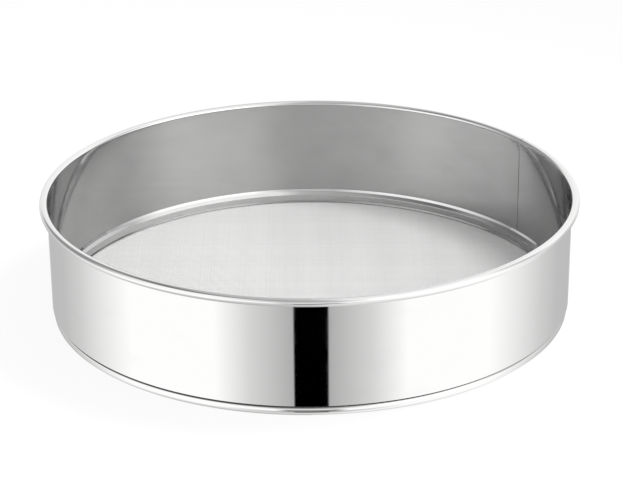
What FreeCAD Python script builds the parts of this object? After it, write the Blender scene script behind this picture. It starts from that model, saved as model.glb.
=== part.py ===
import FreeCAD, Part
import math
import os
import Sketcher

# Drum sieve, or tamis: a drum rolled from one strip of steel, its upper edge curled over a wire. Its
# wire-cloth floor is held between a hoop pressed inside the drum and a foot ring crimped round the hoop.
# The origin is on the axis, on the surface that the sieve stands on, and +Z points up.

# Driving dimensions, in millimetres and degrees: name in the sheet, value, meaning.
SIZES = [
    ("drum_diameter", 300.0, "outside of the drum wall"),
    ("drum_height", 69.0, "from the surface below to the top of the rim"),
    ("sheet", 0.6, "thickness of the sheet that the wall, the hoop and the foot ring are rolled from"),
    ("fit_gap", 0.1, "play between round pieces that seat in each other"),
    ("rim_wire_diameter", 3.3, "wire inside the curled rim"),
    ("rim_wire_gap", 0.15, "from the wire out to the curl round it"),
    ("rim_curl_gap", 0.15, "from the edge of the curl back to the drum wall"),
    ("rim_joint", 0.4, "slit where the two ends of the curl meet"),
    ("seam_angle", 31.0, "where the drum strip laps itself, from +X towards +Y"),
    ("seam_step", 0.45, "height of the lapped edge inside the drum"),
    ("seam_lap", 13.0, "length over which the lap runs out into the wall"),
    ("seam_clearance", 0.4, "from the lap down to the hoop"),
    ("hoop_width", 2.4, "clamp hoop, from its inner face to the edge of its flange"),
    ("hoop_grip", 3.1, "how far the clamp hoop reaches up inside the drum wall"),
    ("hoop_corner", 2.2, "outside radius of the hoop's round shoulder"),
    ("foot_height", 5.3, "foot ring, from its lip to its crimped edge"),
    ("foot_gap", 0.8, "groove between the foot ring's crimped edge and the drum wall"),
    ("foot_setback", 0.8, "how far the foot ring stays back under the drum wall"),
    ("foot_corner", 1.6, "outside radius of the foot ring's lower bend"),
    ("foot_crimp", 2.2, "outside radius of the foot ring's crimped edge"),
    ("foot_lip", 1.0, "how far the lip reaches in beyond the hoop"),
    ("cloth_wire", 0.4, "wire of the cloth"),
    ("cloth_pitch", 2.2, "from wire to wire in the cloth"),
    ("cloth_border", 0.2, "how far the cloth's flat border stays back under the hoop"),
    ("cloth_edge", 0.1, "from the cut edge of the cloth out to the foot ring's bend"),
]

doc = FreeCAD.newDocument("drum_sieve")
sizes = doc.addObject("Spreadsheet::Sheet", "Sizes")
for row, (alias, number, meaning) in enumerate(SIZES, start=1):
    sizes.set(f"A{row}", meaning)
    sizes.set(f"B{row}", str(number))
    sizes.setAlias(f"B{row}", alias)
doc.recompute()

# Sizes that several pieces share, each written once as an expression on the sheet.
WALL_OUTER = "(Sizes.drum_diameter / 2)"
WALL_INNER = f"({WALL_OUTER} - Sizes.sheet)"
CURL_RADIUS = "(Sizes.rim_wire_diameter / 2 + Sizes.rim_wire_gap + Sizes.sheet)"
CURL_MIDDLE = f"({WALL_INNER} + {CURL_RADIUS})"
CURL_LEVEL = f"(Sizes.drum_height - {CURL_RADIUS})"
FOOT_OUTER = f"({WALL_OUTER} - Sizes.foot_setback)"
WALL_FOOT = "(Sizes.foot_height + Sizes.foot_gap)"
WEFT_LEVEL = "Sizes.sheet"
WARP_LEVEL = f"({WEFT_LEVEL} + Sizes.cloth_wire)"
CLOTH_TOP = f"({WARP_LEVEL} + Sizes.cloth_wire)"
HOOP_OUTER = f"({WALL_INNER} - Sizes.fit_gap)"
HOOP_INNER = f"({HOOP_OUTER} - Sizes.hoop_width)"
HOOP_BACK = f"({HOOP_INNER} + Sizes.sheet)"
HOOP_TOP = f"({WALL_FOOT} + Sizes.hoop_grip)"
LAP_FOOT = f"({HOOP_TOP} + Sizes.seam_clearance)"
CLOTH_OUTER = f"({FOOT_OUTER} - Sizes.foot_corner - Sizes.cloth_edge)"
CLOTH_OPEN = f"({HOOP_INNER} + Sizes.cloth_border)"

# A bend of a whole turn is long and thin, so the rolled pieces are turned in equal shares.
FULL_TURN = 360.0
TURN_SHARES = 8


def value(expression):
    """The number that an expression on the sheet has now."""
    return float(sizes.evalExpression(expression))


def new_body(label):
    """An empty body whose label names its file."""
    body = doc.addObject("PartDesign::Body", label)
    body.Label = label
    return body


def new_sketch(body, name, plane):
    """A sketch on one of the body's own origin planes."""
    sketch = body.newObject("Sketcher::SketchObject", name)
    origin_plane = next(feature for feature in body.Origin.OriginFeatures if feature.Role == plane)
    sketch.AttachmentSupport = (origin_plane, [""])
    sketch.MapMode = "FlatFace"
    return sketch


def rule(sketch, kind, *where):
    """Adds a constraint that has no number."""
    sketch.addConstraint(Sketcher.Constraint(kind, *where))


def size(sketch, name, expression, kind, *where):
    """Adds a dimension and ties it to the sheet."""
    index = sketch.addConstraint(Sketcher.Constraint(kind, *where, value(expression)))
    sketch.renameConstraint(index, name)
    sketch.setExpression(f"Constraints.{name}", expression)


def point(x, y):
    """A point of a sketch."""
    return FreeCAD.Vector(x, y, 0)


def line(sketch, start, end):
    """A straight edge."""
    return sketch.addGeometry(Part.LineSegment(start, end), False)


def arc(sketch, centre, radius, start, end):
    """A round edge, from one angle to a larger one, in radians."""
    circle = Part.Circle(centre, FreeCAD.Vector(0, 0, 1), radius)
    return sketch.addGeometry(Part.ArcOfCircle(circle, start, end), False)


def box_outline(sketch, left, right, half_width):
    """A rectangle that lies evenly on both sides of the sketch's X axis, between two expressions."""
    x0, x1, y1 = value(left), value(right), value(half_width)
    corners = [point(x0, -y1), point(x1, -y1), point(x1, y1), point(x0, y1)]
    edges = [line(sketch, corners[place - 1], corners[place]) for place in range(4)]
    for place in range(4):
        rule(sketch, "Coincident", edges[place - 1], 2, edges[place], 1)
    rule(sketch, "Horizontal", edges[1])
    rule(sketch, "Symmetric", edges[0], 1, edges[0], 2, -1)
    rule(sketch, "Symmetric", edges[2], 1, edges[2], 2, -1)
    size(sketch, "left", left, "DistanceX", -1, 1, edges[0], 1)
    size(sketch, "right", right, "DistanceX", -1, 1, edges[2], 1)
    size(sketch, "half_width", half_width, "DistanceY", -1, 1, edges[2], 2)


def rolled_section(sketch, face, sheet, side):
    """Draws the closed section of a rolled sheet from the path of its front face.

    The path has runs (start, end) and bends (centre, radius, first angle, last angle). Every bend turns
    towards the back face, which lies one sheet to the left of the path (side 1) or to its right (side -1).
    Returns the edges of the front face and of the back face, each with its first and last vertex.
    """
    faces = []
    for depth in (0.0, sheet):
        edges = []
        for shape in face:
            if len(shape) == 2:
                start, end = shape
                along = (end - start).normalize()
                offset = point(-along.y, along.x) * side * depth
                index = line(sketch, start + offset, end + offset)
                rule(sketch, "Vertical" if abs(along.y) > abs(along.x) else "Horizontal", index)
                edges.append((index, 1, 2))
            else:
                centre, radius, first, last = shape
                index = arc(sketch, centre, radius - depth, min(first, last), max(first, last))
                edges.append((index, 1, 2) if first < last else (index, 2, 1))
        for before, after in zip(edges, edges[1:]):
            rule(sketch, "Tangent", before[0], before[2], after[0], after[1])
        faces.append(edges)
    front, back = faces
    for front_edge, back_edge, shape in zip(front, back, face):
        if len(shape) > 2:
            rule(sketch, "Coincident", front_edge[0], 3, back_edge[0], 3)
    for place, vertex in ((0, 1), (-1, 2)):
        front_end = (front[place][0], front[place][vertex])
        back_end = (back[place][0], back[place][vertex])
        start = sketch.getPoint(*front_end)
        end = sketch.getPoint(*back_end)
        index = line(sketch, start, end)
        rule(sketch, "Coincident", index, 1, *front_end)
        rule(sketch, "Coincident", index, 2, *back_end)
        if len(face[place]) > 2:
            rule(sketch, "PointOnObject", front_end[0], 3, index)
        else:
            rule(sketch, "Vertical" if abs(start.y - end.y) > abs(start.x - end.x) else "Horizontal", index)
    return front, back


def revolve(body, name, sketch):
    """Turns a section, drawn as radius and height, about the axis, in equal shares whose faces stay apart."""
    share = body.newObject("PartDesign::Revolution", f"{name}_share")
    share.Profile = sketch
    share.ReferenceAxis = (sketch, ["V_Axis"])
    share.Angle = FULL_TURN / TURN_SHARES
    body.Tip = share
    doc.recompute()
    pattern = body.newObject("PartDesign::PolarPattern", name)
    pattern.Originals = [share]
    pattern.Axis = (sketch, ["V_Axis"])
    pattern.Angle = FULL_TURN
    pattern.Occurrences = TURN_SHARES
    pattern.Refine = False
    body.Tip = pattern
    doc.recompute()


def pad(body, name, sketch, length):
    """Adds material upwards from a sketch."""
    feature = body.newObject("PartDesign::Pad", name)
    feature.Profile = sketch
    feature.setExpression("Length", length)
    body.Tip = feature
    doc.recompute()
    return feature


def cut_upwards(body, name, sketch):
    """Cuts all the material above a sketch, and makes sure that something was cut."""
    volume = body.Shape.Volume
    feature = body.newObject("PartDesign::Pocket", name)
    feature.Profile = sketch
    feature.Type = "ThroughAll"
    feature.Reversed = True
    body.Tip = feature
    doc.recompute()
    if not feature.Shape.Volume < volume:
        raise RuntimeError(f"{name} cuts nothing")
    return feature


def make_drum_wall():
    """Drum: one strip on edge, curled outwards over the rim wire, with its ends lapped along one seam."""
    body = new_body("drum_wall")
    inner = value(WALL_INNER)
    curl_radius = value(CURL_RADIUS)
    curl_middle = point(value(CURL_MIDDLE), value(CURL_LEVEL))
    # The curl goes over the wire and under it, back to the wall.
    curl_end = -math.acos((value(WALL_OUTER) + value("Sizes.rim_curl_gap") - curl_middle.x) / curl_radius)
    section = new_sketch(body, "drum_section", "XZ_Plane")
    front, back = rolled_section(
        section,
        [
            (point(inner, value(WALL_FOOT)), point(inner, curl_middle.y)),
            (curl_middle, curl_radius, math.pi, curl_end),
        ],
        value("Sizes.sheet"),
        -1,
    )
    wall, curl = front
    size(section, "wall_inner", WALL_INNER, "DistanceX", -1, 1, wall[0], 1)
    size(section, "wall_foot", WALL_FOOT, "DistanceY", -1, 1, wall[0], 1)
    size(section, "wall_sheet", "Sizes.sheet", "DistanceX", wall[0], 1, back[0][0], 1)
    size(section, "curl_radius", CURL_RADIUS, "Radius", curl[0])
    size(section, "curl_level", CURL_LEVEL, "DistanceY", -1, 1, curl[0], 3)
    size(section, "curl_gap", "Sizes.rim_curl_gap", "DistanceX", back[0][0], 1, curl[0], curl[2])
    revolve(body, "drum_roll", section)

    # The inner end of the strip steps off the wall at the seam and runs out into it, with the wall's curve.
    lap = new_sketch(body, "lap_plan", "XY_Plane")
    lap.setExpression("AttachmentOffset.Base.z", LAP_FOOT)
    lap.setExpression("AttachmentOffset.Rotation.Angle", "Sizes.seam_angle")
    core_radius = f"({WALL_OUTER} - Sizes.sheet / 2)"
    core = value(core_radius)
    turn = 2 * math.asin(value("Sizes.seam_lap") / (2 * core))
    step_start = point(inner - value("Sizes.seam_step"), 0)
    lap_end = point(core * math.cos(turn), core * math.sin(turn))
    step = line(lap, step_start, point(core, 0))
    against = arc(lap, point(0, 0), core, 0, turn)
    chord = lap_end - step_start
    rise = math.sqrt(inner**2 - chord.Length**2 / 4)
    lap_middle = (step_start + lap_end) / 2 + point(-chord.y, chord.x).normalize() * rise
    first = math.atan2(step_start.y - lap_middle.y, step_start.x - lap_middle.x)
    last = math.atan2(lap_end.y - lap_middle.y, lap_end.x - lap_middle.x)
    runout = arc(lap, lap_middle, inner, first, last)
    rule(lap, "PointOnObject", step, 1, -1)
    rule(lap, "PointOnObject", step, 2, -1)
    rule(lap, "Coincident", step, 2, against, 1)
    rule(lap, "Coincident", against, 3, -1, 1)
    rule(lap, "Coincident", runout, 1, step, 1)
    rule(lap, "Coincident", runout, 2, against, 2)
    size(lap, "step", "Sizes.seam_step + Sizes.sheet / 2", "Distance", step)
    size(lap, "against", core_radius, "Radius", against)
    size(lap, "length", "Sizes.seam_lap", "Distance", against, 1, against, 2)
    size(lap, "runout", WALL_INNER, "Radius", runout)
    pad(body, "lap", lap, f"{CURL_LEVEL} - {LAP_FOOT}")

    # The two ends of the curl meet in a narrow slit above the seam.
    slit = new_sketch(body, "rim_joint_plan", "XY_Plane")
    slit.setExpression("AttachmentOffset.Rotation.Angle", "Sizes.seam_angle")
    slit_start = f"{WALL_OUTER} + Sizes.fit_gap"
    slit_end = f"{CURL_MIDDLE} + 2 * {CURL_RADIUS}"
    box_outline(slit, slit_start, slit_end, "Sizes.rim_joint / 2")
    cut_upwards(body, "rim_joint", slit)
    return body


def make_rim_wire():
    """Wire hoop that the rim is curled over."""
    wire = doc.addObject("Part::Torus", "rim_wire")
    wire.Label = "rim_wire"
    wire.setExpression("Radius1", CURL_MIDDLE)
    wire.setExpression("Radius2", "Sizes.rim_wire_diameter / 2")
    wire.setExpression("Placement.Base.z", CURL_LEVEL)
    doc.recompute()
    return wire


def make_clamp_hoop():
    """Hoop that stands on the cloth and holds it down, with a flange that seats in the drum wall."""
    body = new_body("clamp_hoop")
    inner, outer = value(HOOP_INNER), value(HOOP_OUTER)
    bottom, top = value(CLOTH_TOP), value(HOOP_TOP)
    corner = value("Sizes.hoop_corner")
    section = new_sketch(body, "hoop_section", "XZ_Plane")
    front, back = rolled_section(
        section,
        [
            (point(inner, bottom), point(inner, top - corner)),
            (point(inner + corner, top - corner), corner, math.pi, 0.5 * math.pi),
            (point(inner + corner, top), point(outer, top)),
        ],
        value("Sizes.sheet"),
        -1,
    )
    web, bend, flange = front
    size(section, "inner", HOOP_INNER, "DistanceX", -1, 1, web[0], 1)
    size(section, "bottom", CLOTH_TOP, "DistanceY", -1, 1, web[0], 1)
    size(section, "web_sheet", "Sizes.sheet", "DistanceX", web[0], 1, back[0][0], 1)
    size(section, "corner", "Sizes.hoop_corner", "Radius", bend[0])
    size(section, "outer", HOOP_OUTER, "DistanceX", -1, 1, flange[0], 2)
    size(section, "top", HOOP_TOP, "DistanceY", -1, 1, flange[0], 2)
    revolve(body, "hoop_roll", section)
    return body


def make_foot_ring():
    """Rounded ring under the drum wall, crimped round the hoop, with a lip that carries the cloth."""
    body = new_body("foot_ring")
    outer = value(FOOT_OUTER)
    corner = value("Sizes.foot_corner")
    crimp = value("Sizes.foot_crimp")
    sheet = value("Sizes.sheet")
    lip = value(HOOP_INNER) - value("Sizes.foot_lip")
    # The upper edge is crimped in until its inside meets the back of the hoop.
    crimp_travel = outer - sheet - value(HOOP_BACK) - value("Sizes.fit_gap")
    lean = math.acos(1 - crimp_travel / (crimp - sheet))
    crimp_level = value("Sizes.foot_height") - crimp * math.sin(lean)
    section = new_sketch(body, "foot_section", "XZ_Plane")
    front, back = rolled_section(
        section,
        [
            (point(lip, 0), point(outer - corner, 0)),
            (point(outer - corner, corner), corner, -0.5 * math.pi, 0),
            (point(outer, corner), point(outer, crimp_level)),
            (point(outer - crimp, crimp_level), crimp, 0, lean),
        ],
        sheet,
        1,
    )
    flat, bend, band, edge = front
    rule(section, "PointOnObject", flat[0], 1, -1)
    size(section, "lip", f"{HOOP_INNER} - Sizes.foot_lip", "DistanceX", -1, 1, flat[0], 1)
    size(section, "lip_sheet", "Sizes.sheet", "DistanceY", flat[0], 1, back[0][0], 1)
    size(section, "outer", FOOT_OUTER, "DistanceX", -1, 1, band[0], 1)
    size(section, "corner", "Sizes.foot_corner", "Radius", bend[0])
    size(section, "crimp", "Sizes.foot_crimp", "Radius", edge[0])
    size(section, "edge_level", "Sizes.foot_height", "DistanceY", -1, 1, edge[0], 2)
    size(section, "edge_inner", f"{HOOP_BACK} + Sizes.fit_gap", "DistanceX", -1, 1, back[3][0], 2)
    revolve(body, "foot_roll", section)
    return body


def make_cloth_wires(label, level, turn):
    """One set of parallel wires of the cloth, pressed flat into a border where the cloth is clamped."""
    wire = value("Sizes.cloth_wire")
    pitch = value("Sizes.cloth_pitch")
    open_radius = value(CLOTH_OPEN)
    gap_count = int(2 * open_radius // pitch) - 1
    first_gap = -(gap_count * pitch - wire) / 2

    def on_border(x, side):
        """Where a straight line along the wires meets the border, on one side."""
        return point(x, side * math.sqrt(open_radius**2 - x**2))

    def gap_outline(left):
        """Outline of the gap between two wires, whose ends follow the border."""
        right = left + pitch - wire
        middle = (left + right) / 2
        return Part.Wire(
            [
                Part.LineSegment(on_border(left, -1), on_border(left, 1)).toShape(),
                Part.Arc(on_border(left, 1), on_border(middle, 1), on_border(right, 1)).toShape(),
                Part.LineSegment(on_border(right, 1), on_border(right, -1)).toShape(),
                Part.Arc(on_border(right, -1), on_border(middle, -1), on_border(left, -1)).toShape(),
            ]
        )

    outline = Part.Wire(Part.makeCircle(value(CLOTH_OUTER)))
    gaps = [gap_outline(first_gap + place * pitch) for place in range(gap_count)]
    net = Part.makeFace([outline] + gaps, "Part::FaceMakerBullseye")
    cloth = doc.addObject("Part::Feature", label)
    cloth.Label = label
    cloth.Shape = net.extrude(FreeCAD.Vector(0, 0, wire))
    cloth.Placement.Rotation = FreeCAD.Rotation(FreeCAD.Vector(0, 0, 1), turn)
    cloth.setExpression("Placement.Base.z", level)
    doc.recompute()
    return cloth


pieces = [
    make_drum_wall(),
    make_rim_wire(),
    make_clamp_hoop(),
    make_foot_ring(),
    make_cloth_wires("mesh_weft", WEFT_LEVEL, 90),
    make_cloth_wires("mesh_warp", WARP_LEVEL, 0),
]
doc.recompute()

for item in doc.Objects:
    if "Invalid" in item.State or "Error" in item.State:
        raise RuntimeError(f"{item.Label} failed: {item.State}")
for piece in pieces:
    if piece.Shape.isNull() or not piece.Shape.isValid() or len(piece.Shape.Solids) != 1:
        raise RuntimeError(f"{piece.Label} is not one valid solid")

os.makedirs("parts", exist_ok=True)
for piece in pieces:
    piece.Shape.exportStep(f"parts/{piece.Label}.step")
    box = piece.Shape.optimalBoundingBox()
    print(
        f"{piece.Label}: {piece.Shape.Volume / 1000:.2f} cm3, radius {box.XMax:.2f} mm,"
        f" height {box.ZMin:.2f} to {box.ZMax:.2f} mm"
    )
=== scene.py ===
"""Dressed model of a polished steel drum sieve (tamis), with its studio and the photograph's camera."""

import logging
import math
from dataclasses import dataclass
from enum import Enum

import bpy
import numpy as np
from mathutils import Matrix, Vector
from numpy.typing import NDArray


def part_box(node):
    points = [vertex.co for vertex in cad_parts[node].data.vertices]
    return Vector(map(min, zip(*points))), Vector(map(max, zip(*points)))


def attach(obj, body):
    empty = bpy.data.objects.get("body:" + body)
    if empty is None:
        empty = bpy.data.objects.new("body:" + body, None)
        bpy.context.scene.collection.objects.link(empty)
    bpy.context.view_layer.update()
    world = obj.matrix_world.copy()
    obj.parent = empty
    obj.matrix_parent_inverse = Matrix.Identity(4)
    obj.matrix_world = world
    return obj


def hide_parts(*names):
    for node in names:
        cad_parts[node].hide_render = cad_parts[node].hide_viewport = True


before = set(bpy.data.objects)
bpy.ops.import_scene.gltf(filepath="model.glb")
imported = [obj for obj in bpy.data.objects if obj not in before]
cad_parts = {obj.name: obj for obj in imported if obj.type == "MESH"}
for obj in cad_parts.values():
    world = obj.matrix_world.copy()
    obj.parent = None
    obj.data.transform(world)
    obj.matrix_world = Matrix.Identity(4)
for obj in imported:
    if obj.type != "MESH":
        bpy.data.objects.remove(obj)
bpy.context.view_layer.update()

LOG = logging.getLogger("drum_sieve")
Floats = NDArray[np.float64]
Ints = NDArray[np.int64]
Triple = tuple[float, float, float]
Stops = tuple[tuple[float, float], ...]

BODY = "root"
MM = 0.001
FULL_TURN = 2.0 * math.pi
PHOTO_WIDTH = 622
# Points that are nearer than this, in metres, count as one.
NEAR = 1e-6
# Edges of the sheet that turn by more than this stay sharp.
SHEET_CREASE = math.radians(35.0)
# Sockets of a Mix node that mixes colours.
MIX_UNDER = 6
MIX_OVER = 7
MIX_RESULT = 2
# The wires of the cloth have six sides, so two quads close each end.
CLOTH_WIRE_SIDES = 6
CLOTH_WIRE_END = ((3, 2, 1, 0), (5, 4, 3, 0))


# Shader graphs


class Value:
    """One number in a shader graph, on which Python's operators add Math nodes."""

    def __init__(self, graph: "Graph", socket: bpy.types.NodeSocket) -> None:
        """Wraps a socket of the graph."""
        self.graph = graph
        self.socket = socket

    def _math(self, operation: str, *inputs: "Value | float") -> "Value":
        """Adds a Math node with these inputs."""
        node = self.graph.node("ShaderNodeMath", {"operation": operation}, dict(enumerate(inputs)))
        return Value(self.graph, node.outputs[0])

    def __add__(self, other: "Value | float") -> "Value":
        """self + other."""
        return self._math("ADD", self, other)

    def __radd__(self, other: float) -> "Value":
        """other + self."""
        return self._math("ADD", other, self)

    def __sub__(self, other: "Value | float") -> "Value":
        """self - other."""
        return self._math("SUBTRACT", self, other)

    def __rsub__(self, other: float) -> "Value":
        """other - self."""
        return self._math("SUBTRACT", other, self)

    def __mul__(self, other: "Value | float") -> "Value":
        """self * other."""
        return self._math("MULTIPLY", self, other)

    def __rmul__(self, other: float) -> "Value":
        """other * self."""
        return self._math("MULTIPLY", other, self)

    def __truediv__(self, other: "Value | float") -> "Value":
        """self / other."""
        return self._math("DIVIDE", self, other)

    def __abs__(self) -> "Value":
        """Absolute value."""
        return self._math("ABSOLUTE", self)

    def maximum(self, other: "Value | float") -> "Value":
        """The larger of two values."""
        return self._math("MAXIMUM", self, other)

    def angle_to(self, across: "Value") -> "Value":
        """Angle, in radians, of the direction whose sine side is self and cosine side is across."""
        return self._math("ARCTAN2", self, across)

    def ramp(self, stops: Stops) -> "Value":
        """Reads a grey ramp.

        Args:
            stops: positions from 0 to 1, each with its grey, which changes evenly from one to the next.

        Returns:
            The grey at this value.
        """
        node = self.graph.node("ShaderNodeValToRGB", {"stops": stops}, {0: self})
        return Value(self.graph, node.outputs["Color"])


class Graph:
    """A node tree that is filled through one method."""

    def __init__(self, tree: bpy.types.NodeTree) -> None:
        """Empties the tree."""
        self.tree = tree
        tree.nodes.clear()

    def node(
        self,
        kind: str,
        settings: dict[str, object] | None = None,
        inputs: dict[int | str, object] | None = None,
    ) -> bpy.types.Node:
        """Adds a node.

        Args:
            kind: the node's type.
            settings: its properties, set first; "stops" are those of a colour ramp.
            inputs: numbers, colours, Values or sockets for its input sockets, by index or name.

        Returns:
            The new node.
        """
        node = self.tree.nodes.new(kind)
        for name, setting in (settings or {}).items():
            if name == "stops":
                self._set_stops(node.color_ramp, setting)
            else:
                setattr(node, name, setting)
        for key, given in (inputs or {}).items():
            if isinstance(given, Value):
                self.tree.links.new(given.socket, node.inputs[key])
            elif isinstance(given, bpy.types.NodeSocket):
                self.tree.links.new(given, node.inputs[key])
            else:
                node.inputs[key].default_value = given
        return node

    @staticmethod
    def _set_stops(ramp: bpy.types.ColorRamp, stops: Stops) -> None:
        """Gives a colour ramp its stops.

        Args:
            ramp: a new ramp, which has two stops.
            stops: positions in rising order, each with its grey.
        """
        while len(ramp.elements) < len(stops):
            ramp.elements.new(1.0)
        for element, (position, grey) in zip(ramp.elements, stops):
            element.position = position
            element.color = (grey, grey, grey, 1.0)

    def value(self, node: bpy.types.Node, output: int | str = 0) -> Value:
        """One output of a node as a Value."""
        return Value(self, node.outputs[output])

    def attribute(self, name: str) -> Value:
        """A number stored on the piece's points, or 0 where the piece has none of that name."""
        return self.value(self.node("ShaderNodeAttribute", {"attribute_name": name}), "Fac")

    def noise(self, scale: Triple, detail: float) -> Value:
        """Noise on Object coordinates.

        Args:
            scale: cells per metre along X, Y and Z.
            detail: octaves.

        Returns:
            The noise, about 0.5.
        """
        place = self.node("ShaderNodeTexCoord")
        stretched = self.node(
            "ShaderNodeMapping",
            None,
            {"Vector": place.outputs["Object"], "Scale": scale},
        )
        noise = self.node(
            "ShaderNodeTexNoise",
            None,
            {"Vector": stretched.outputs[0], "Scale": 1.0, "Detail": detail},
        )
        return self.value(noise)

    def mix(self, under: Triple | bpy.types.NodeSocket, over: Triple, mask: Value) -> bpy.types.NodeSocket:
        """A colour between two colours.

        Args:
            under: linear colour where the mask is 0, or the socket that gives it.
            over: linear colour where the mask is 1.
            mask: the mix.

        Returns:
            The colour's socket.
        """
        base = under if isinstance(under, bpy.types.NodeSocket) else (*under, 1.0)
        mixed = self.node(
            "ShaderNodeMix",
            {"data_type": "RGBA"},
            {"Factor": mask, MIX_UNDER: base, MIX_OVER: (*over, 1.0)},
        )
        return mixed.outputs[MIX_RESULT]

    def bump(self, height: Value, distance: float, strength: float) -> bpy.types.NodeSocket:
        """A bent normal.

        Args:
            height: the height that bends it, in units of the distance.
            distance: what a height of 1 stands for, in metres.
            strength: the share of the bend that shows.

        Returns:
            The normal's socket.
        """
        node = self.node(
            "ShaderNodeBump",
            None,
            {"Strength": strength, "Distance": distance, "Height": height},
        )
        return node.outputs[0]


# Finishes


@dataclass(frozen=True)
class PolishedSheet:
    """Stainless sheet, buffed to a mirror outside and left a little duller inside the drum."""

    name: str
    inside_color: Triple = (0.37, 0.37, 0.37)
    mirror_color: Triple = (0.83, 0.83, 0.825)
    # Colour of the painted shade in a crevice.
    crevice_shade_color: Triple = (0.14, 0.14, 0.14)
    mirror_roughness: float = 0.03
    inside_roughness: float = 0.07
    # Roughness added where the crevice shade is painted.
    crevice_shade_roughness: float = 0.4
    inside_haze: float = 0.12
    smear_scale: Triple = (38.0, 38.0, 60.0)
    smear_stops: Stops = ((0.42, 0.0), (0.75, 1.0))
    smear_roughness: float = 0.03
    smear_shade: float = 0.08
    buffing_scale: Triple = (9.0, 9.0, 2600.0)
    buffing_depth: float = 4e-7
    buffing_strength: float = 0.5

    def material(self) -> bpy.types.Material:
        """Builds the material.

        Buffing lines are noise drawn out round the drum, which is stretched thin along Z; faint smears change
        the colour and the roughness. The "inside" attribute tells the duller face from the mirror, and where
        it changes round the sieve it paints light and shade. The other attribute paints shade in a crevice,
        as a dark colour with more roughness.

        Returns:
            The material.
        """
        material = bpy.data.materials.new(self.name)
        material.use_nodes = True
        graph = Graph(material.node_tree)
        buffing = graph.noise(self.buffing_scale, detail=2.0)
        smears = graph.noise(self.smear_scale, detail=3.0).ramp(self.smear_stops)
        # The inner finish is duller; where this attribute changes round the sieve it is painted light and
        # shade.
        inside = graph.attribute("inside")
        # Painted shade: this attribute darkens the colour in a crevice, where shade falls.
        grime = graph.attribute("grime")
        dullness = self.mirror_roughness + (self.inside_roughness - self.mirror_roughness) * inside
        shine = (1.0 + 0.5 * self.smear_shade) - inside - smears * self.smear_shade
        steel = graph.mix(self.inside_color, self.mirror_color, shine)
        shader = graph.node(
            "ShaderNodeBsdfPrincipled",
            None,
            {
                "Metallic": 1.0 - inside * self.inside_haze,
                "Base Color": graph.mix(steel, self.crevice_shade_color, grime),
                "Roughness": dullness + smears * self.smear_roughness + grime * self.crevice_shade_roughness,
                "Normal": graph.bump(buffing, self.buffing_depth, self.buffing_strength),
            },
        )
        graph.node("ShaderNodeOutputMaterial", None, {"Surface": shader.outputs[0]})
        return material


@dataclass(frozen=True)
class DrawnWire:
    """Bare stainless wire with fine drawing marks, each wire a little lighter or darker than the next."""

    name: str
    dark: Triple = (0.80, 0.80, 0.795)
    light: Triple = (0.95, 0.95, 0.945)
    roughness: float = 0.34
    roughness_spread: float = 0.16
    metallic: float = 1.0
    mark_scale: Triple = (240.0, 240.0, 240.0)
    mark_share: float = 0.25

    def material(self) -> bpy.types.Material:
        """Builds the material, with the "lightness" attribute of each wire and noise along it.

        Returns:
            The material.
        """
        material = bpy.data.materials.new(self.name)
        material.use_nodes = True
        graph = Graph(material.node_tree)
        marks = graph.noise(self.mark_scale, detail=2.0)
        lightness = graph.attribute("lightness") * (1.0 - self.mark_share) + marks * self.mark_share
        shader = graph.node(
            "ShaderNodeBsdfPrincipled",
            None,
            {
                "Metallic": self.metallic,
                "Base Color": graph.mix(self.dark, self.light, lightness),
                "Roughness": self.roughness + marks * self.roughness_spread,
            },
        )
        graph.node("ShaderNodeOutputMaterial", None, {"Surface": shader.outputs[0]})
        return material


@dataclass(frozen=True)
class ClothWire(DrawnWire):
    """Fine wire of the cloth, which looks pale and almost matt because its facets are too small to see."""

    dark: Triple = (0.86, 0.86, 0.855)
    light: Triple = (0.97, 0.97, 0.965)
    roughness: float = 0.30
    metallic: float = 0.4


@dataclass(frozen=True)
class Patch:
    """A stretch round the sieve where painted light and shade change, with its middle and its width in
    degrees.
    """

    middle: float
    width: float
    share: float

    def over(self, angles: Floats) -> Floats:
        """share exp(-((a - middle) / width)^2) at each angle a, which is given in radians."""
        return self.share * np.exp(-(((np.degrees(angles) - self.middle) / self.width) ** 2))


# Surfaces


def arc(centre: tuple[float, float], radius: float, first: float, last: float, steps: int) -> Floats:
    """Points of a round edge.

    Args:
        centre: the centre, as radius from the axis and height.
        radius: the edge's radius.
        first: angle of the first point, in radians.
        last: angle of the last point.
        steps: number of points less one.

    Returns:
        Points, centre + radius (cos a, sin a) with a even from first to last.
    """
    angle = np.linspace(first, last, steps + 1)
    return np.column_stack((centre[0] + radius * np.cos(angle), centre[1] + radius * np.sin(angle)))


def run(start: tuple[float, float], end: tuple[float, float], steps: int) -> Floats:
    """Evenly spaced points of a straight edge, both ends included."""
    return np.linspace(start, end, steps + 1)


def outline(*stretches: Floats) -> Floats:
    """Joins stretches into one closed outline without repeated points.

    Args:
        stretches: the stretches in order, each as points of radius and height.

    Returns:
        The points, anticlockwise: reversed where half the sum of r z' - r' z, the area, is negative.
    """
    points = np.vstack(stretches)
    distance = np.linalg.norm(points - np.roll(points, 1, axis=0), axis=1)
    points = points[distance > NEAR]
    following = np.roll(points, -1, axis=0)
    area = 0.5 * np.sum(points[:, 0] * following[:, 1] - following[:, 0] * points[:, 1])
    return points if area > 0 else points[::-1]


def wrapped_quads(rows: int, columns: int) -> Ints:
    """Quads of a grid that closes on itself both ways, as a ring's skin does.

    Args:
        rows: points round the section.
        columns: stations round the axis.

    Returns:
        Vertex numbers of each quad, where vertex (row, column) has the number row * columns + column.
    """
    row, column = np.meshgrid(np.arange(rows), np.arange(columns), indexing="ij")
    next_row = (row + 1) % rows
    next_column = (column + 1) % columns
    corners = (
        row * columns + column,
        row * columns + next_column,
        next_row * columns + next_column,
        next_row * columns + column,
    )
    return np.stack(corners, axis=-1).reshape(-1, 4)


def around(stations: int) -> Floats:
    """Angles of evenly spaced stations round the axis."""
    return np.linspace(0.0, FULL_TURN, stations, endpoint=False)


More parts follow.
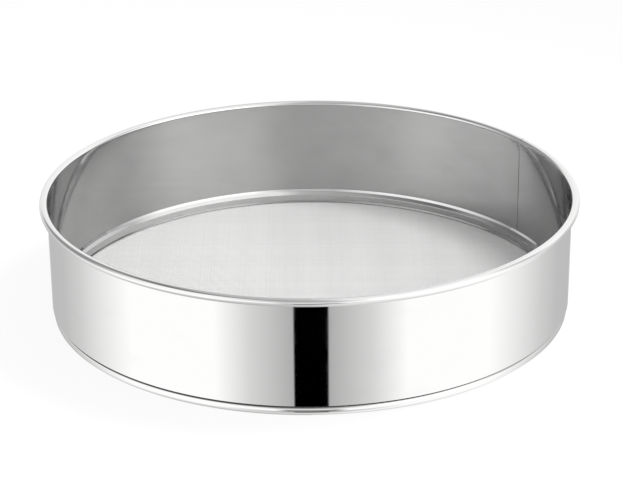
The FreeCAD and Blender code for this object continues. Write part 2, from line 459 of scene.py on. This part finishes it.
def turned(radius: Floats, height: Floats, angles: Floats) -> Floats:
    """Carries a closed section round the axis.

    Args:
        radius: distances of the section's points from the axis, in one column or one for each angle.
        height: heights of the points, likewise.
        angles: the stations.

    Returns:
        Points (r cos a, r sin a, z), row by row of the section.
    """
    grid = np.broadcast_arrays(radius * np.cos(angles), radius * np.sin(angles), height)
    return np.stack(grid, axis=-1).reshape(-1, 3)


def new_piece(
    name: str,
    points: Floats,
    quads: Ints,
    crease: float,
    attributes: dict[str, Floats],
) -> bpy.types.Object:
    """Makes a smooth-shaded piece at the origin.

    Args:
        name: the piece's name.
        points: its points, in metres.
        quads: its faces.
        crease: edges that turn by more than this angle stay sharp, in radians.
        attributes: a number for each point, by attribute name.

    Returns:
        The new object.
    """
    mesh = bpy.data.meshes.new(name)
    mesh.from_pydata(points.tolist(), [], quads.tolist())
    mesh.shade_smooth()
    mesh.set_sharp_from_angle(angle=crease)
    for attribute, numbers in attributes.items():
        data = mesh.attributes.new(attribute, "FLOAT", "POINT").data
        data.foreach_set("value", numbers.astype(np.float32))
    mesh.update()
    piece = bpy.data.objects.new(name, mesh)
    bpy.context.scene.collection.objects.link(piece)
    return piece


def dress(piece: bpy.types.Object, material: bpy.types.Material, slot: str, *nodes: str) -> bpy.types.Object:
    """Gives a piece its finish, lets it ride with the sieve and stand for its CAD nodes.

    Args:
        piece: the new piece.
        material: its finish.
        slot: the record's material slot; not used.
        nodes: the CAD nodes that it stands for.

    Returns:
        The piece.
    """
    piece.data.materials.append(material)
    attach(piece, BODY)
    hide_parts(*nodes)
    LOG.info("%s: %d points, %d faces", piece.name, len(piece.data.vertices), len(piece.data.polygons))
    return piece


# Sub-assemblies


@dataclass
class Drum:
    """Drum wall with its curled rim, the lap of its seam and the joint of the curl."""

    wall_radius: float = 150.0 * MM
    sheet: float = 0.6 * MM
    curl_radius: float = 2.4 * MM
    curl_gap: float = 0.15 * MM
    seam_angle: float = math.radians(31.0)
    seam_step: float = 0.22 * MM
    seam_lap: float = 13.0 * MM
    seam_clearance: float = 0.4 * MM
    seam_fade: float = 14.0 * MM
    lap_start: float = 0.05
    lap_stations: int = 24
    joint_width: float = 0.4 * MM
    joint_edge: float = 0.02 * MM
    joint_depth: float = 0.54 * MM
    # Painted light on the inner face: patches round the drum where it is made brighter and more mirror-like.
    painted_light_patches: tuple[Patch, ...] = (
        Patch(152.0, 14.0, 0.14),
        Patch(122.0, 12.0, 0.50),
        Patch(105.0, 9.0, 0.46),
        Patch(61.0, 12.0, 0.13),
    )
    stations: int = 540

    @property
    def inner(self) -> float:
        """Radius of the wall's inner face."""
        return self.wall_radius - self.sheet

    @property
    def lap_turn(self) -> float:
        """Angle that the lap takes up."""
        return self.seam_lap / self.inner

    def section(self, foot: float, top: float) -> Floats:
        """Section of the rolled strip: up the inside, over the wire, back along the sheet's other face.

        Args:
            foot: height of the strip's lower edge.
            top: height of the rim.

        Returns:
            The closed outline.
        """
        centre = (self.inner + self.curl_radius, top - self.curl_radius)
        end = -math.acos((self.wall_radius + self.curl_gap - centre[0]) / self.curl_radius)
        return outline(
            run((self.inner, foot), (self.inner, centre[1]), steps=40),
            arc(centre, self.curl_radius, math.pi, end, steps=60),
            arc(centre, self.curl_radius - self.sheet, end, math.pi, steps=36),
            run((self.wall_radius, centre[1]), (self.wall_radius, foot), steps=12),
        )

    def angles(self) -> Floats:
        """Stations round the drum.

        Returns:
            Even angles, with more of them at the edges of the joint and along the lap.
        """
        half_joint = 0.5 * self.joint_width / self.wall_radius
        edge = self.joint_edge / self.wall_radius
        joint = np.array([-half_joint - edge, -half_joint, -edge, edge, half_joint, half_joint + edge])
        lap = np.linspace(self.lap_start, 1.0, self.lap_stations) * self.lap_turn
        near_seam = self.seam_angle + np.concatenate((joint, lap))
        return np.unique(np.concatenate((around(self.stations), near_seam)))

    def build(self, finish: PolishedSheet) -> bpy.types.Object:
        """Makes the drum.

        Near the seam the inner face stands off by seam_step, which falls to nothing over seam_lap and, under
        the curl, over seam_fade. In the joint the curl's outer face is drawn in by joint_depth. The patches
        round the drum paint light on the inner face, which is made more mirror-like there.

        Args:
            finish: the sheet's finish.

        Returns:
            The piece.
        """
        low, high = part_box("drum_wall")
        hoop_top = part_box("clamp_hoop")[1][2]
        section = self.section(low[2], high[2])
        curl_centre = np.array((self.inner + self.curl_radius, high[2] - self.curl_radius))
        angles = self.angles()
        from_seam = angles - self.seam_angle

        on_inside = np.isclose(section[:, 0], self.inner, atol=NEAR)
        lapped = on_inside & (section[:, 1] > hoop_top + self.seam_clearance)
        below_curl = np.clip((curl_centre[1] - section[:, 1]) / self.seam_fade, 0.0, 1.0)
        past_seam = from_seam / self.lap_turn
        lap = np.where((past_seam > 0.0) & (past_seam < 1.0), 1.0 - past_seam, 0.0)
        stand_off = self.seam_step * (lapped * below_curl)[:, None] * lap

        from_centre = section - curl_centre
        reach = np.linalg.norm(from_centre, axis=1)
        outwards = from_centre / np.maximum(reach, NEAR)[:, None]
        on_curl = np.isclose(reach, self.curl_radius, atol=NEAR) & (section[:, 0] > self.wall_radius)
        in_joint = np.abs(from_seam) < 0.5 * (self.joint_width + self.joint_edge) / self.wall_radius
        drawn_in = self.joint_depth * on_curl[:, None] * in_joint

        radius = section[:, 0, None] - stand_off - drawn_in * outwards[:, 0, None]
        height = section[:, 1, None] - drawn_in * outwards[:, 1, None]
        # Painted light: in its patches the inner face takes more of the mirror colour and less roughness.
        dullness_and_painted_light = 1.0 - sum(patch.over(angles) for patch in self.painted_light_patches)
        piece = new_piece(
            "drum_wall_skin",
            turned(radius, height, angles),
            wrapped_quads(len(section), len(angles)),
            SHEET_CREASE,
            {"inside": (on_inside[:, None] * dullness_and_painted_light).ravel()},
        )
        return dress(piece, finish.material(), "polished_steel", "drum_wall")


@dataclass
class RimWire:
    """Wire hoop inside the curl."""

    middle_radius: float = 151.8 * MM
    wire_radius: float = 1.65 * MM
    lightness: float = 0.3
    sides: int = 20
    stations: int = 360

    def build(self, finish: DrawnWire) -> bpy.types.Object:
        """Makes the wire: a circle carried round the axis.

        Args:
            finish: the wire's finish.

        Returns:
            The piece.
        """
        low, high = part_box("rim_wire")
        centre = (self.middle_radius, 0.5 * (low[2] + high[2]))
        circle = arc(centre, self.wire_radius, 0.0, FULL_TURN, self.sides)[:-1]
        points = turned(circle[:, 0, None], circle[:, 1, None], around(self.stations))
        piece = new_piece(
            "rim_wire_core",
            points,
            wrapped_quads(len(circle), self.stations),
            math.pi,
            {"lightness": np.full(len(points), self.lightness)},
        )
        return dress(piece, finish.material(), "rim_steel", "rim_wire")


@dataclass
class ClampHoop:
    """Hoop that stands on the cloth, with a sloped shoulder and an edge that seats in the drum wall."""

    outer_radius: float = 149.3 * MM
    width: float = 2.4 * MM
    edge_lean: float = math.radians(29.0)
    edge_length: float = 1.6 * MM
    shoulder_lean: float = math.radians(42.0)
    corner: float = 0.5 * MM
    sheet: float = 0.6 * MM
    seat: float = 1.5 * MM
    foot_lean: float = math.radians(26.0)
    foot_height: float = 0.95 * MM
    shoulder_dullness: float = 0.15
    face_dullness: float = 0.8
    # Painted light on the face and painted shade on the shoulder and the edge, in patches round the hoop.
    painted_light_face: Patch = Patch(125.0, 30.0, 0.6)
    painted_shade_end: Patch = Patch(154.0, 16.0, 0.6)
    painted_shade_shoulder: Patch = Patch(30.0, 15.0, 0.85)
    stations: int = 540

    def build(self, finish: PolishedSheet) -> bpy.types.Object:
        """Makes the hoop from its section: foot, upright face, corner, shoulder and edge, and the back.

        The foot leans in by foot_lean onto the cloth. From the hoop's top the edge falls inwards by edge_lean
        off the upright, then the shoulder by shoulder_lean, which a small corner turns into the face. The
        back is the shoulder moved out by one sheet, (r, z) + sheet (cos lean, -sin lean). The foot takes the
        duller finish in full. Round the hoop, patches paint light on the face at the back left, and paint
        shade on the shoulder and the edge at the left end and on the shoulder at the back right.

        Args:
            finish: the sheet's finish.

        Returns:
            The piece.
        """
        low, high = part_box("clamp_hoop")
        bottom, top = low[2], high[2]
        inner = self.outer_radius - self.width
        back_radius = inner + self.sheet
        cos_lean, sin_lean = math.cos(self.shoulder_lean), math.sin(self.shoulder_lean)
        edge_radius = self.outer_radius - self.edge_length * math.sin(self.edge_lean)
        edge_level = top - self.edge_length * math.cos(self.edge_lean)
        turn_radius = inner + self.corner * (1.0 - cos_lean)
        turn_level = edge_level - (edge_radius - turn_radius) * cos_lean / sin_lean
        face_level = turn_level - self.corner * sin_lean
        back_edge = (edge_radius + self.sheet * cos_lean, edge_level - self.sheet * sin_lean)
        back_turn = (back_radius, turn_level - self.sheet * sin_lean)
        corner_centre = (inner + self.corner, face_level)
        toe_radius = inner - self.foot_height * math.tan(self.foot_lean)
        foot_top = bottom + self.foot_height
        section = outline(
            run((back_radius, bottom), (toe_radius, bottom), steps=2),
            run((toe_radius, bottom), (inner, foot_top), steps=6),
            run((inner, foot_top), (inner, face_level), steps=12),
            arc(corner_centre, self.corner, math.pi, math.pi - self.shoulder_lean, steps=8),
            run((turn_radius, turn_level), (edge_radius, edge_level), steps=8),
            run((edge_radius, edge_level), (self.outer_radius, top), steps=8),
            run((self.outer_radius, top), (self.outer_radius, top - self.seat), steps=2),
            run(back_edge, back_turn, steps=4),
            run(back_turn, (back_radius, bottom), steps=3),
        )
        angles = around(self.stations)
        level = section[:, 1, None]
        below_edge = level < edge_level + NEAR
        # Painted light and shade: these patches make the face, the shoulder and the edge more or less
        # mirror-like round the hoop.
        face = self.face_dullness - self.painted_light_face.over(angles)
        shoulder = self.shoulder_dullness + self.painted_shade_end.over(angles)
        shoulder = shoulder + below_edge * self.painted_shade_shoulder.over(angles)
        up_corner = np.clip((level - face_level) / (turn_level - face_level), 0.0, 1.0)
        on_foot = level < foot_top - NEAR
        dullness_and_painted_light = np.where(on_foot, 1.0, face + (shoulder - face) * up_corner)
        piece = new_piece(
            "clamp_hoop_skin",
            turned(section[:, 0, None], level, angles),
            wrapped_quads(len(section), self.stations),
            SHEET_CREASE,
            {"inside": dullness_and_painted_light.ravel()},
        )
        return dress(piece, finish.material(), "polished_steel", "clamp_hoop")


@dataclass
class FootRing:
    """Rounded ring under the drum wall, crimped round the hoop, with a lip under the edge of the cloth."""

    outer_radius: float = 149.2 * MM
    lip_radius: float = 145.9 * MM
    hoop_back: float = 147.5 * MM
    fit_gap: float = 0.1 * MM
    corner: float = 1.6 * MM
    crimp: float = 2.2 * MM
    crown: float = 0.06 * MM
    # Painted shade on the crimped edge under the wall, and the stretch where less of it is painted.
    crevice_shade_lean: float = math.radians(30.0)
    paler_crevice_shade: Patch = Patch(302.0, 34.0, 0.65)
    sheet: float = 0.6 * MM
    stations: int = 540

    def build(self, finish: PolishedSheet) -> bpy.types.Object:
        """Makes the ring from its section: lip, lower bend, band and crimped edge, front and back.

        Between its bends the band swells by crown (1 - t^2), with t from -1 to 1. Shade is painted on the
        crimped edge, as a dark colour, where it leans in by more than the set angle, and less of it over a
        stretch at the front right.

        Args:
            finish: the sheet's finish.

        Returns:
            The piece.
        """
        low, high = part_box("foot_ring")
        bottom, top = low[2], high[2]
        travel = self.outer_radius - self.sheet - self.hoop_back - self.fit_gap
        lean = math.acos(1.0 - travel / (self.crimp - self.sheet))
        corner_centre = (self.outer_radius - self.corner, bottom + self.corner)
        crimp_centre = (self.outer_radius - self.crimp, top - self.crimp * math.sin(lean))
        band = run((self.outer_radius, corner_centre[1]), (self.outer_radius, crimp_centre[1]), steps=16)
        band[:, 0] += self.crown * (1.0 - np.linspace(-1.0, 1.0, len(band)) ** 2)
        lip_top = bottom + self.sheet
        section = outline(
            run((self.lip_radius, bottom), (corner_centre[0], bottom), steps=4),
            arc(corner_centre, self.corner, -0.5 * math.pi, 0.0, steps=14),
            band,
            arc(crimp_centre, self.crimp, 0.0, lean, steps=20),
            arc(crimp_centre, self.crimp - self.sheet, lean, 0.0, steps=8),
            arc(corner_centre, self.corner - self.sheet, 0.0, -0.5 * math.pi, steps=8),
            run((corner_centre[0], lip_top), (self.lip_radius, lip_top), steps=3),
        )
        angles = around(self.stations)
        level = section[:, 1, None]
        # Painted shade: the crimped edge is darkened where it leans in under the wall, less over a stretch at
        # the front right.
        leaning = level - crimp_centre[1] > self.crimp * math.sin(self.crevice_shade_lean)
        grime = leaning * (1.0 - self.paler_crevice_shade.over(angles))
        points = turned(section[:, 0, None], level, angles)
        piece = new_piece(
            "foot_ring_skin",
            points,
            wrapped_quads(len(section), self.stations),
            SHEET_CREASE,
            {"inside": np.zeros(len(points)), "grime": grime.ravel()},
        )
        return dress(piece, finish.material(), "polished_steel", "foot_ring")


class WireSet(Enum):
    """The two sets of wires in the cloth, each with its CAD node and the axis that its wires follow."""

    WEFT = ("mesh_weft", 0)
    WARP = ("mesh_warp", 1)

    @property
    def node(self) -> str:
        """CAD node of the set."""
        return self.value[0]

    @property
    def along(self) -> int:
        """Number of the axis that the wires follow."""
        return self.value[1]


@dataclass
class WireCloth:
    """Fine wire cloth that floors the drum, clamped between the hoop and the foot ring."""

    cloth_radius: float = 147.5 * MM
    wire_radius: float = 0.14 * MM
    pitch: float = 0.64 * MM
    seed: int = 7
    drift_reach: int = 25
    drift_divisor: float = 6.0
    offset_drift: float = 0.10
    offset_jitter: float = 0.05
    lightness: float = 0.5
    lightness_drift: float = 0.22
    lightness_jitter: float = 0.18
    crease: float = math.radians(70.0)

    def build(self, wires: WireSet, finish: DrawnWire) -> bpy.types.Object:
        """Makes one set of wires: prisms of chord length, side by side.

        Their places and their lightness drift slowly, by random numbers smoothed over drift_reach wires, and
        jitter from each wire to the next. A wire at the offset d from the middle is as long as its chord,
        2 sqrt(radius^2 - d^2).

        Args:
            wires: which set.
            finish: the wire's finish.

        Returns:
            The piece.
        """
        low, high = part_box(wires.node)
        farthest = self.cloth_radius - self.pitch
        count = int(2.0 * farthest / self.pitch)
        order = np.arange(count) - 0.5 * (count - 1)
        shuffled = np.random.default_rng(self.seed + wires.along)
        rough_drift = shuffled.normal(0.0, 1.0, count + self.drift_reach - 1)
        drift = np.convolve(rough_drift, np.hanning(self.drift_reach) / self.drift_divisor, "valid")
        astray = self.offset_drift * drift + self.offset_jitter * shuffled.normal(0.0, 1.0, count)
        offset = np.clip((order + astray) * self.pitch, -farthest, farthest)
        half = np.sqrt(self.cloth_radius**2 - offset**2)
        paler = self.lightness_drift * drift + self.lightness_jitter * shuffled.normal(0.0, 1.0, count)
        lightness = np.clip(self.lightness + paler, 0.0, 1.0)

        turn = around(CLOTH_WIRE_SIDES) + math.pi / CLOTH_WIRE_SIDES
        level = high[2] - self.wire_radius if wires is WireSet.WEFT else low[2] + self.wire_radius
        points = np.empty((count, 2, CLOTH_WIRE_SIDES, 3))
        points[..., wires.along] = half[:, None, None] * np.array([-1.0, 1.0])[None, :, None]
        points[..., 1 - wires.along] = offset[:, None, None] + self.wire_radius * np.cos(turn)
        points[..., 2] = level + self.wire_radius * np.sin(turn)

        # One prism's faces: its sides and two ends, reversed for wires along Y so that all face outwards.
        side = np.arange(CLOTH_WIRE_SIDES)
        next_side = np.roll(side, -1)
        skin = np.column_stack((side, next_side, next_side + CLOTH_WIRE_SIDES, side + CLOTH_WIRE_SIDES))
        near_end = np.array(CLOTH_WIRE_END)
        far_end = near_end[:, ::-1] + CLOTH_WIRE_SIDES
        prism = np.vstack((skin, near_end, far_end))
        if wires is WireSet.WARP:
            prism = prism[:, ::-1]
        wire_points = 2 * CLOTH_WIRE_SIDES
        quads = (np.arange(count)[:, None, None] * wire_points + prism).reshape(-1, 4)
        piece = new_piece(
            f"{wires.node}_wires",
            points.reshape(-1, 3),
            quads,
            self.crease,
            {"lightness": np.repeat(lightness, wire_points)},
        )
        return dress(piece, finish.material(), "cloth_steel", wires.node)


# Studio


@dataclass
class Floor:
    """Round floor, white to the camera where nothing shades it, that keeps the sieve's soft shadow."""

    radius: float = 6.0
    drop: float = 0.1 * MM
    corners: int = 64
    paint: float = 0.8
    glow: float = 0.9

    def build(self) -> None:
        """Makes the floor, which reflections don't show."""
        turn = around(self.corners)
        level = np.full(self.corners, -self.drop)
        rim = np.column_stack((self.radius * np.cos(turn), self.radius * np.sin(turn), level))
        mesh = bpy.data.meshes.new("floor")
        mesh.from_pydata(rim.tolist(), [], [list(range(self.corners))])
        mesh.materials.append(self._material())
        floor = bpy.data.objects.new("floor", mesh)
        floor.visible_glossy = False
        bpy.context.scene.collection.objects.link(floor)

    def _material(self) -> bpy.types.Material:
        """Builds the floor's paint.

        Returns:
            The material: pale paint for light, and for the camera white paint under a share of white glow.
        """
        material = bpy.data.materials.new("white_floor")
        material.use_nodes = True
        graph = Graph(material.node_tree)
        seen = graph.value(graph.node("ShaderNodeLightPath"), "Is Camera Ray")
        paint = graph.node("ShaderNodeBsdfDiffuse", None, {"Color": self.paint + seen * (1.0 - self.paint)})
        glow = graph.node("ShaderNodeEmission", None, {"Color": (1.0, 1.0, 1.0, 1.0), "Strength": 1.0})
        mixed = graph.node(
            "ShaderNodeMixShader",
            None,
            {0: seen * self.glow, 1: paint.outputs[0], 2: glow.outputs[0]},
        )
        graph.node("ShaderNodeOutputMaterial", None, {"Surface": mixed.outputs[0]})
        return material


class TentDirection:
    """Direction in which a ray meets the tent, read by grey ramps over its angles in degrees."""

    def __init__(self, graph: Graph, gap_centre: float) -> None:
        """Adds the nodes for the angle aside from the gap, the bearing and the height, each from 0 to 1.

        Args:
            graph: the world's node tree.
            gap_centre: bearing of the gap's middle, in radians.
        """
        place = graph.node("ShaderNodeTexCoord")
        split = graph.node("ShaderNodeSeparateXYZ", None, {0: place.outputs["Generated"]})
        across, ahead, up = (graph.value(split, axis) for axis in range(3))
        # The camera stands towards -Y.
        bearing = across.angle_to(ahead * -1.0)
        self._aside = abs(bearing - gap_centre) / math.pi
        self._turn = bearing / FULL_TURN + 0.5
        self._level = up * 0.5 + 0.5

    def aside(self, stops: Stops) -> Value:
        """Grey by the angle aside from the gap, from 0 to 180 on either side."""
        return self._aside.ramp(tuple((degrees / 180.0, grey) for degrees, grey in stops))

    def bearing(self, stops: Stops) -> Value:
        """Grey by the bearing, which goes from -180 behind by the left, 0 at the camera, to 180."""
        return self._turn.ramp(tuple((0.5 + degrees / 360.0, grey) for degrees, grey in stops))

    def height(self, stops: Stops) -> Value:
        """Grey by the angle above the horizon, whose sine the node tree holds."""
        return self._level.ramp(
            tuple((0.5 + 0.5 * math.sin(math.radians(degrees)), grey) for degrees, grey in stops)
        )


@dataclass(frozen=True)
class LightTent:
    """Light tent that shows in the polished wall, with a dark gap for the lens.

    Each field of stops gives greys by degrees: aside from the gap, by the bearing, or above the horizon, as
    TentDirection reads them.
    """

    strength: float = 1.19
    gap_centre: float = math.radians(0.2)
    gap_aside: Stops = ((7.15, 1.0), (7.6, 0.0))
    gap_height: Stops = ((-32.0, 0.0), (-30.0, 1.0), (-23.5, 1.0), (-21.5, 0.0))
    wide_gap_aside: Stops = ((10.0, 0.72), (15.5, 0.0))
    wide_gap_height: Stops = ((-23.4, 0.0), (-22.6, 1.0), (-12.0, 1.0), (-6.0, 0.0))
    panels_aside: Stops = (
        (7.4, 0.42),
        (26.0, 0.66),
        (42.0, 1.0),
        (84.0, 1.0),
        (120.0, 0.61),
        (137.0, 0.50),
        (162.0, 0.45),
        (174.0, 0.60),
    )
    panels_height: Stops = ((-40.0, 0.0), (-32.0, 1.0), (0.0, 1.0), (9.0, 0.0))
    back_bearing: Stops = ((-180.0, 0.80), (-162.0, 0.72), (-140.0, 0.76), (140.0, 0.85), (180.0, 0.80))
    back_aside: Stops = ((125.0, 0.0), (150.0, 1.0))
    back_height: Stops = ((-19.0, 0.0), (-14.0, 1.0))
    front: float = 1.0
    front_aside: Stops = ((60.0, 1.0), (90.0, 0.0))
    front_height: Stops = ((-23.0, 0.0), (-20.0, 1.0))
    ground_height: Stops = ((-65.0, 0.50), (-40.0, 0.66), (-32.0, 0.0))
    ground_bearing: Stops = ((-30.0, 1.0), (0.0, 1.05), (25.0, 1.4))
    sky_height: Stops = ((0.0, 0.0), (9.0, 1.0))
    low_sky_bearing: Stops = (
        (-180.0, 0.86),
        (-152.0, 0.80),
        (-140.0, 0.28),
        (-106.0, 0.28),
        (-95.0, 0.50),
        (-80.0, 0.80),
        (-62.0, 0.95),
        (-40.0, 0.95),
        (-24.0, 0.75),
        (-12.0, 0.50),
        (10.0, 0.52),
        (20.0, 0.80),
        (32.0, 1.25),
        (72.0, 1.25),
        (86.0, 0.85),
        (103.0, 0.52),
        (112.0, 0.80),
        (120.0, 0.95),
        (180.0, 0.86),
    )
    high_sky_height: Stops = ((38.0, 0.0), (47.0, 1.0))
    high_sky_bearing: Stops = (
        (-165.0, 0.45),
        (-130.0, 0.30),
        (-112.0, 0.22),
        (-98.0, 0.14),
        (-78.0, 0.14),
        (-60.0, 0.22),
        (-38.0, 0.30),
        (-12.0, 0.32),
        (6.0, 0.40),
        (20.0, 0.90),
        (130.0, 0.95),
        (170.0, 0.55),
    )
    zenith_height: Stops = ((58.0, 0.0), (68.0, 1.0))
    zenith_bearing: Stops = (
        (-165.0, 0.55),
        (-110.0, 0.45),
        (0.0, 0.50),
        (40.0, 0.78),
        (130.0, 0.88),
        (170.0, 0.60),
    )

    def build(self) -> None:
        """Makes the world: plain white for the camera, and the tent for all that it lights."""
        world = bpy.data.worlds.new("light_tent")
        bpy.context.scene.world = world
        world.use_nodes = True
        graph = Graph(world.node_tree)
        towards = TentDirection(graph, self.gap_centre)
        ground = towards.height(self.ground_height) * towards.bearing(self.ground_bearing)
        tent = (self._walls(towards) + ground + self._sky(towards)) * self.strength
        seen = graph.value(graph.node("ShaderNodeLightPath"), "Is Camera Ray")
        light = seen + (1.0 - seen) * tent
        background = graph.node("ShaderNodeBackground", None, {"Color": light, "Strength": 1.0})
        graph.node("ShaderNodeOutputWorld", None, {"Surface": background.outputs[0]})

    def _walls(self, towards: TentDirection) -> Value:
        """Panels round the sieve, evened out at the back and the front above the floor, less the gap.

        Args:
            towards: where the ray goes.

        Returns:
            panels (1 - gap), within the panels' height.
        """
        panels = towards.aside(self.panels_aside)
        at_back = towards.aside(self.back_aside) * towards.height(self.back_height)
        panels += (towards.bearing(self.back_bearing) - panels) * at_back
        at_front = towards.aside(self.front_aside) * towards.height(self.front_height)
        panels += (self.front - panels) * at_front
        gap = towards.aside(self.gap_aside) * towards.height(self.gap_height)
        wide_gap = towards.aside(self.wide_gap_aside) * towards.height(self.wide_gap_height)
        return panels * (1.0 - gap.maximum(wide_gap)) * towards.height(self.panels_height)

    def _sky(self, towards: TentDirection) -> Value:
        """Roof of the tent, brighter on the right, in three tiers by height.

        Args:
            towards: where the ray goes.

        Returns:
            The low sky, which goes over into the high sky and then into the zenith, above the horizon.
        """
        sky = towards.bearing(self.low_sky_bearing)
        sky += (towards.bearing(self.high_sky_bearing) - sky) * towards.height(self.high_sky_height)
        sky += (towards.bearing(self.zenith_bearing) - sky) * towards.height(self.zenith_height)
        return sky * towards.height(self.sky_height)


@dataclass
class SoftLamp:
    """Soft lamp at the right, which leaves the cloth under the right wall in its shade."""

    size: float = 0.42
    power: float = 1.62
    place: Triple = (0.44, 0.09, 0.86)
    aim: Triple = (-0.16, 0.03, 0.0)
    spread: float = math.radians(70.0)

    def build(self) -> None:
        """Makes the lamp, which reflections don't show."""
        data = bpy.data.lights.new("soft_lamp", "AREA")
        data.shape = "DISK"
        data.size = self.size
        data.energy = self.power
        data.spread = self.spread
        lamp = bpy.data.objects.new("soft_lamp", data)
        place = Vector(self.place)
        away = place - Vector(self.aim)
        lamp.matrix_world = Matrix.Translation(place) @ away.to_track_quat("Z", "Y").to_matrix().to_4x4()
        lamp.visible_glossy = False
        bpy.context.scene.collection.objects.link(lamp)


@dataclass
class PhotoCamera:
    """Camera of the photograph, fitted to the outlines of the rim, the wall and the foot."""

    distance: float = 1226.3 * MM
    elevation: float = math.radians(23.066)
    roll: float = math.radians(-0.4875)
    focal_pixels: float = 2113.6
    target: Triple = (0.0, 0.0, 35.0 * MM)
    slide_right: float = 0.667 * MM
    slide_up: float = 0.512 * MM
    nearest: float = 10.0 * MM

    def build(self) -> None:
        """Makes the camera, which looks along +Y and down, rolled a little about its line of sight."""
        ahead = Vector((0.0, math.cos(self.elevation), -math.sin(self.elevation)))
        right = Vector((1.0, 0.0, 0.0))
        above = right.cross(ahead)
        place = Vector(self.target) - ahead * self.distance + right * self.slide_right + above * self.slide_up
        data = bpy.data.cameras.new("photo_camera")
        data.sensor_fit = "HORIZONTAL"
        data.lens = self.focal_pixels / PHOTO_WIDTH * data.sensor_width
        data.clip_start = self.nearest
        camera = bpy.data.objects.new("photo_camera", data)
        rolled_right = right * math.cos(self.roll) + above * math.sin(self.roll)
        rolled_above = above * math.cos(self.roll) - right * math.sin(self.roll)
        axes = Matrix((rolled_right, rolled_above, -ahead)).transposed().to_4x4()
        camera.matrix_world = Matrix.Translation(place) @ axes
        bpy.context.scene.collection.objects.link(camera)
        bpy.context.scene.camera = camera


# The whole scene


def main() -> None:
    """Builds the sieve, the studio and the camera."""
    logging.basicConfig(level=logging.INFO, format="%(name)s %(message)s")
    bpy.context.scene.view_settings.view_transform = "Standard"
    Drum().build(PolishedSheet("drum_polish_painted_light"))
    RimWire().build(DrawnWire("rim_wire_steel"))
    ClampHoop().build(PolishedSheet("hoop_polish_painted_light"))
    FootRing().build(PolishedSheet("foot_polish_painted_shade"))
    for wires in WireSet:
        WireCloth().build(wires, ClothWire(f"{wires.node}_steel"))
    Floor().build()
    LightTent().build()
    SoftLamp().build()
    PhotoCamera().build()


if __name__ == "__main__":
    main()
